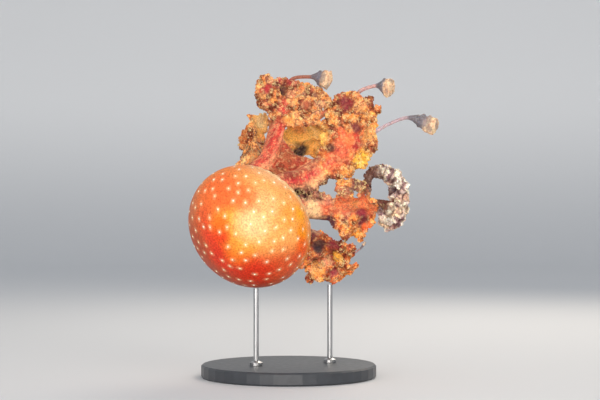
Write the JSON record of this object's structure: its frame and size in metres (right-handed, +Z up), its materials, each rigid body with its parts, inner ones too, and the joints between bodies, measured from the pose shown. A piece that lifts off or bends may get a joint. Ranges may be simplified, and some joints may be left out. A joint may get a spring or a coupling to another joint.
{
  "type": "white-spotted jellyfish model on a display stand",
  "caption": "Life-size model of a young white-spotted jellyfish: a tilted round bell with branching frilled mouth arms and club-tipped feelers, on a flat base with thin rods.",
  "frame": {"origin": "centre of the stand base's underside, on the surface it stands on", "axes": "+Z up; the visitor stands on the -Y side and looks along +Y; +X is to the visitor's right"},
  "size_m": [0.2309, 0.1836, 0.2883],
  "materials": {
    "bell_jelly": "translucent orange jelly with small white spots, satin",
    "arm_jelly": "translucent peach jelly with crimson streaks, satin",
    "arm_frill": "mottled yellow-orange frills, soft matt",
    "pale_jelly": "cream-white jelly, soft matt",
    "base_lacquer": "dark grey satin lacquer",
    "rod_steel": "brushed"
  },
  "bodies": {
    "root": {"arm_1_curl": "arm_frill", "arm_1_lower": "arm_frill", "arm_1_upper": "arm_jelly", "arm_2_lower": "arm_frill", "arm_2_trim": "arm_frill", "arm_2_upper": "arm_jelly", "arm_3_frill": "arm_frill", "arm_3_fringe": "pale_jelly", "arm_3_lower": "arm_frill", "arm_3_trim": "arm_frill", "arm_3_upper": "arm_jelly", "arm_4_lower": "arm_frill", "arm_4_upper": "arm_jelly", "arm_5_lower": "arm_frill", "arm_5_upper": "arm_jelly", "arm_6_lower": "arm_frill", "arm_6_upper": "arm_jelly", "arm_7_lower": "arm_frill", "arm_7_upper": "arm_jelly", "arm_8_lower": "arm_frill", "arm_8_upper": "arm_jelly", "arm_disc": "arm_jelly", "arm_web": "arm_jelly", "bell": "bell_jelly", "feeler_1": "pale_jelly", "feeler_2": "pale_jelly", "feeler_3": "pale_jelly", "feeler_4": "pale_jelly", "feeler_5": "pale_jelly", "feeler_6": "pale_jelly", "margin_1": "bell_jelly", "margin_2": "bell_jelly", "margin_3": "bell_jelly", "margin_4": "bell_jelly", "margin_5": "bell_jelly", "margin_6": "bell_jelly", "margin_7": "bell_jelly", "margin_8": "bell_jelly", "pillar_1": "arm_jelly", "pillar_2": "arm_jelly", "pillar_3": "arm_jelly", "pillar_4": "arm_jelly", "stand_base": "base_lacquer", "stand_rod_arm": "rod_steel", "stand_rod_bell": "rod_steel"}
  },
  "joints": []
}
